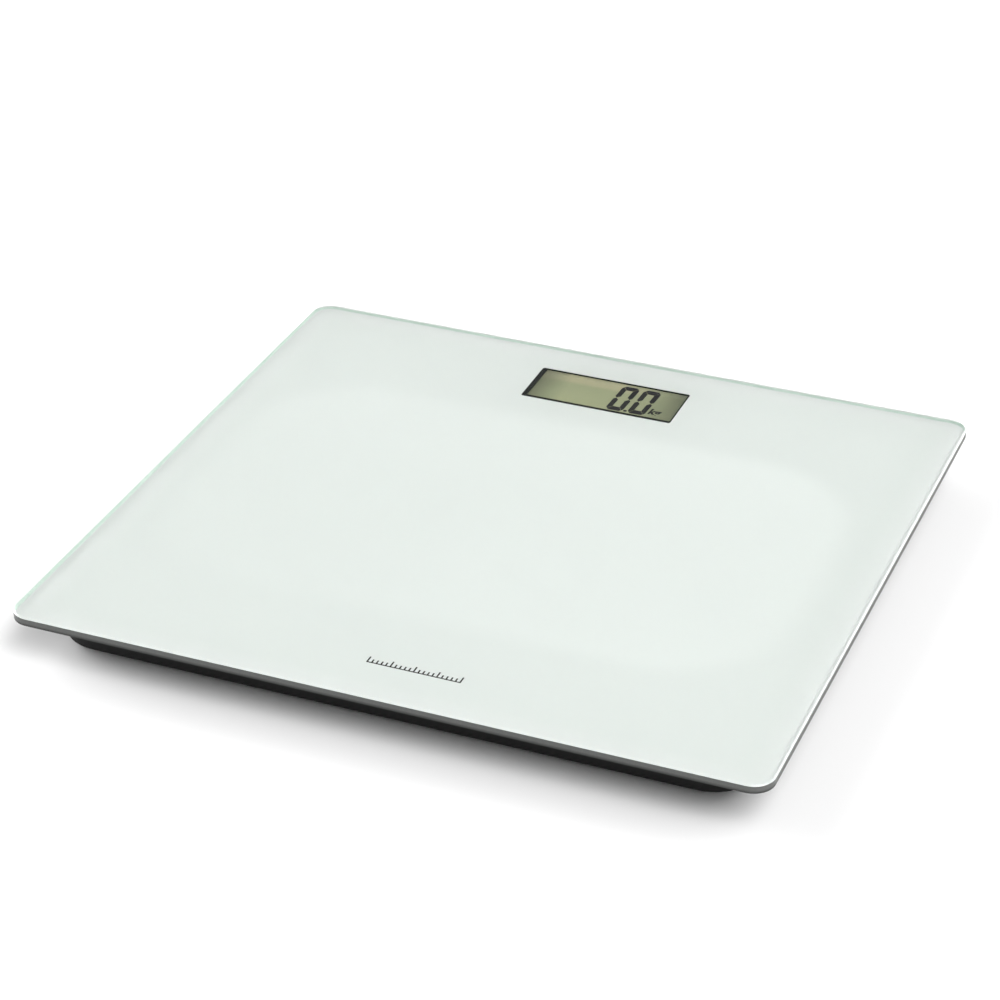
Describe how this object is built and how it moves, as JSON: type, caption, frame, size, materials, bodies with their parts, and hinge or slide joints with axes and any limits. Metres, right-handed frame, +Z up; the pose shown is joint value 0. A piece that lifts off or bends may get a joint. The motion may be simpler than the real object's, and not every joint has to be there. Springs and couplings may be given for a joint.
{
  "type": "digital person scale",
  "caption": "Flat digital scale: glass platform over a moulded tray, segment display near the far edge, load-cell feet, hinged battery door and unit button underneath.",
  "frame": {"origin": "on the floor, under the middle of the platform", "axes": "+Z up; +Y towards the display edge; +X to the right as seen from the near edge"},
  "size_m": [0.3, 0.281, 0.019],
  "materials": {
    "platform_glass": "polished, clear with a green edge",
    "white_print": "smooth white print behind the glass",
    "foam_tape": "matte foam",
    "black_plastic": "fine spark texture",
    "label_foil": "satin foil",
    "cell_steel": "stamped, satin",
    "white_silicone": "smooth",
    "foot_plastic": "fine texture",
    "foot_rubber": "matte, ringed tread",
    "red_wire": "satin insulation",
    "white_wire": "satin insulation",
    "black_wire": "satin insulation",
    "circuit_board": "solder mask over weave",
    "chip_resin": "cast resin",
    "screw_steel": "zinc plated",
    "lcd_face": "olive reflective display",
    "zebra_rubber": "layered rubber",
    "bezel_plastic": "matte black",
    "spring_steel": "nickel plated",
    "coin_steel": "satin stainless"
  },
  "bodies": {
    "scale_body": {"glass_platform": "platform_glass", "backing_film": "white_print", "bond_tape_front": "foam_tape", "bond_tape_back": "foam_tape", "bond_tape_left": "foam_tape", "bond_tape_right": "foam_tape", "tower_pad_front_left": "foam_tape", "tower_pad_front_right": "foam_tape", "tower_pad_back_left": "foam_tape", "tower_pad_back_right": "foam_tape", "base_tray": "black_plastic", "rating_label": "label_foil", "load_cell_front_left": "cell_steel", "load_cell_front_right": "cell_steel", "load_cell_back_left": "cell_steel", "load_cell_back_right": "cell_steel", "gauge_coat_front_left": "white_silicone", "gauge_coat_front_right": "white_silicone", "gauge_coat_back_left": "white_silicone", "gauge_coat_back_right": "white_silicone", "cell_lead_back_left": "red_wire", "cell_lead_back_right": "red_wire", "battery_lead_positive": "red_wire", "cell_lead_front_left": "white_wire", "cell_lead_front_right": "white_wire", "battery_lead_negative": "black_wire", "main_board": "circuit_board", "chip_coat": "chip_resin", "board_screw_1": "screw_steel", "board_screw_2": "screw_steel", "board_screw_3": "screw_steel", "board_screw_4": "screw_steel", "lcd_panel": "lcd_face", "zebra_strip": "zebra_rubber", "lcd_bezel": "bezel_plastic", "switch_body": "spring_steel", "contact_negative": "spring_steel", "contact_positive": "spring_steel", "coin_cell": "coin_steel"},
    "foot_front_left": {"foot_carrier_front_left": "foot_plastic", "foot_pad_front_left": "foot_rubber"},
    "foot_front_right": {"foot_carrier_front_right": "foot_plastic", "foot_pad_front_right": "foot_rubber"},
    "foot_back_left": {"foot_carrier_back_left": "foot_plastic", "foot_pad_back_left": "foot_rubber"},
    "foot_back_right": {"foot_carrier_back_right": "foot_plastic", "foot_pad_back_right": "foot_rubber"},
    "door": {"battery_door": "black_plastic"},
    "button": {"unit_button": "foot_plastic", "switch_plunger": "chip_resin"}
  },
  "joints": [
    {"name": "foot_front_left_press", "type": "slide", "parent": "scale_body", "child": "foot_front_left", "axis": [0, 0, 1], "range_m": [0, 0.0004], "stiffness_N_per_m": 8000, "springref_m": -0.001},
    {"name": "foot_front_right_press", "type": "slide", "parent": "scale_body", "child": "foot_front_right", "axis": [0, 0, 1], "range_m": [0, 0.0004], "stiffness_N_per_m": 8000, "springref_m": -0.001},
    {"name": "foot_back_left_press", "type": "slide", "parent": "scale_body", "child": "foot_back_left", "axis": [0, 0, 1], "range_m": [0, 0.0004], "stiffness_N_per_m": 8000, "springref_m": -0.001},
    {"name": "foot_back_right_press", "type": "slide", "parent": "scale_body", "child": "foot_back_right", "axis": [0, 0, 1], "range_m": [0, 0.0004], "stiffness_N_per_m": 8000, "springref_m": -0.001},
    {"name": "battery_door_hinge", "type": "hinge", "parent": "scale_body", "child": "door", "pos_m": [0, 0.0299, 0.0039], "axis": [-1, 0, 0], "range_deg": [0, 90]},
    {"name": "unit_button_press", "type": "slide", "parent": "scale_body", "child": "button", "axis": [0, 0, 1], "range_m": [0, 0.0005], "stiffness_N_per_m": 1200, "springref_m": -0.0004}
  ]
}
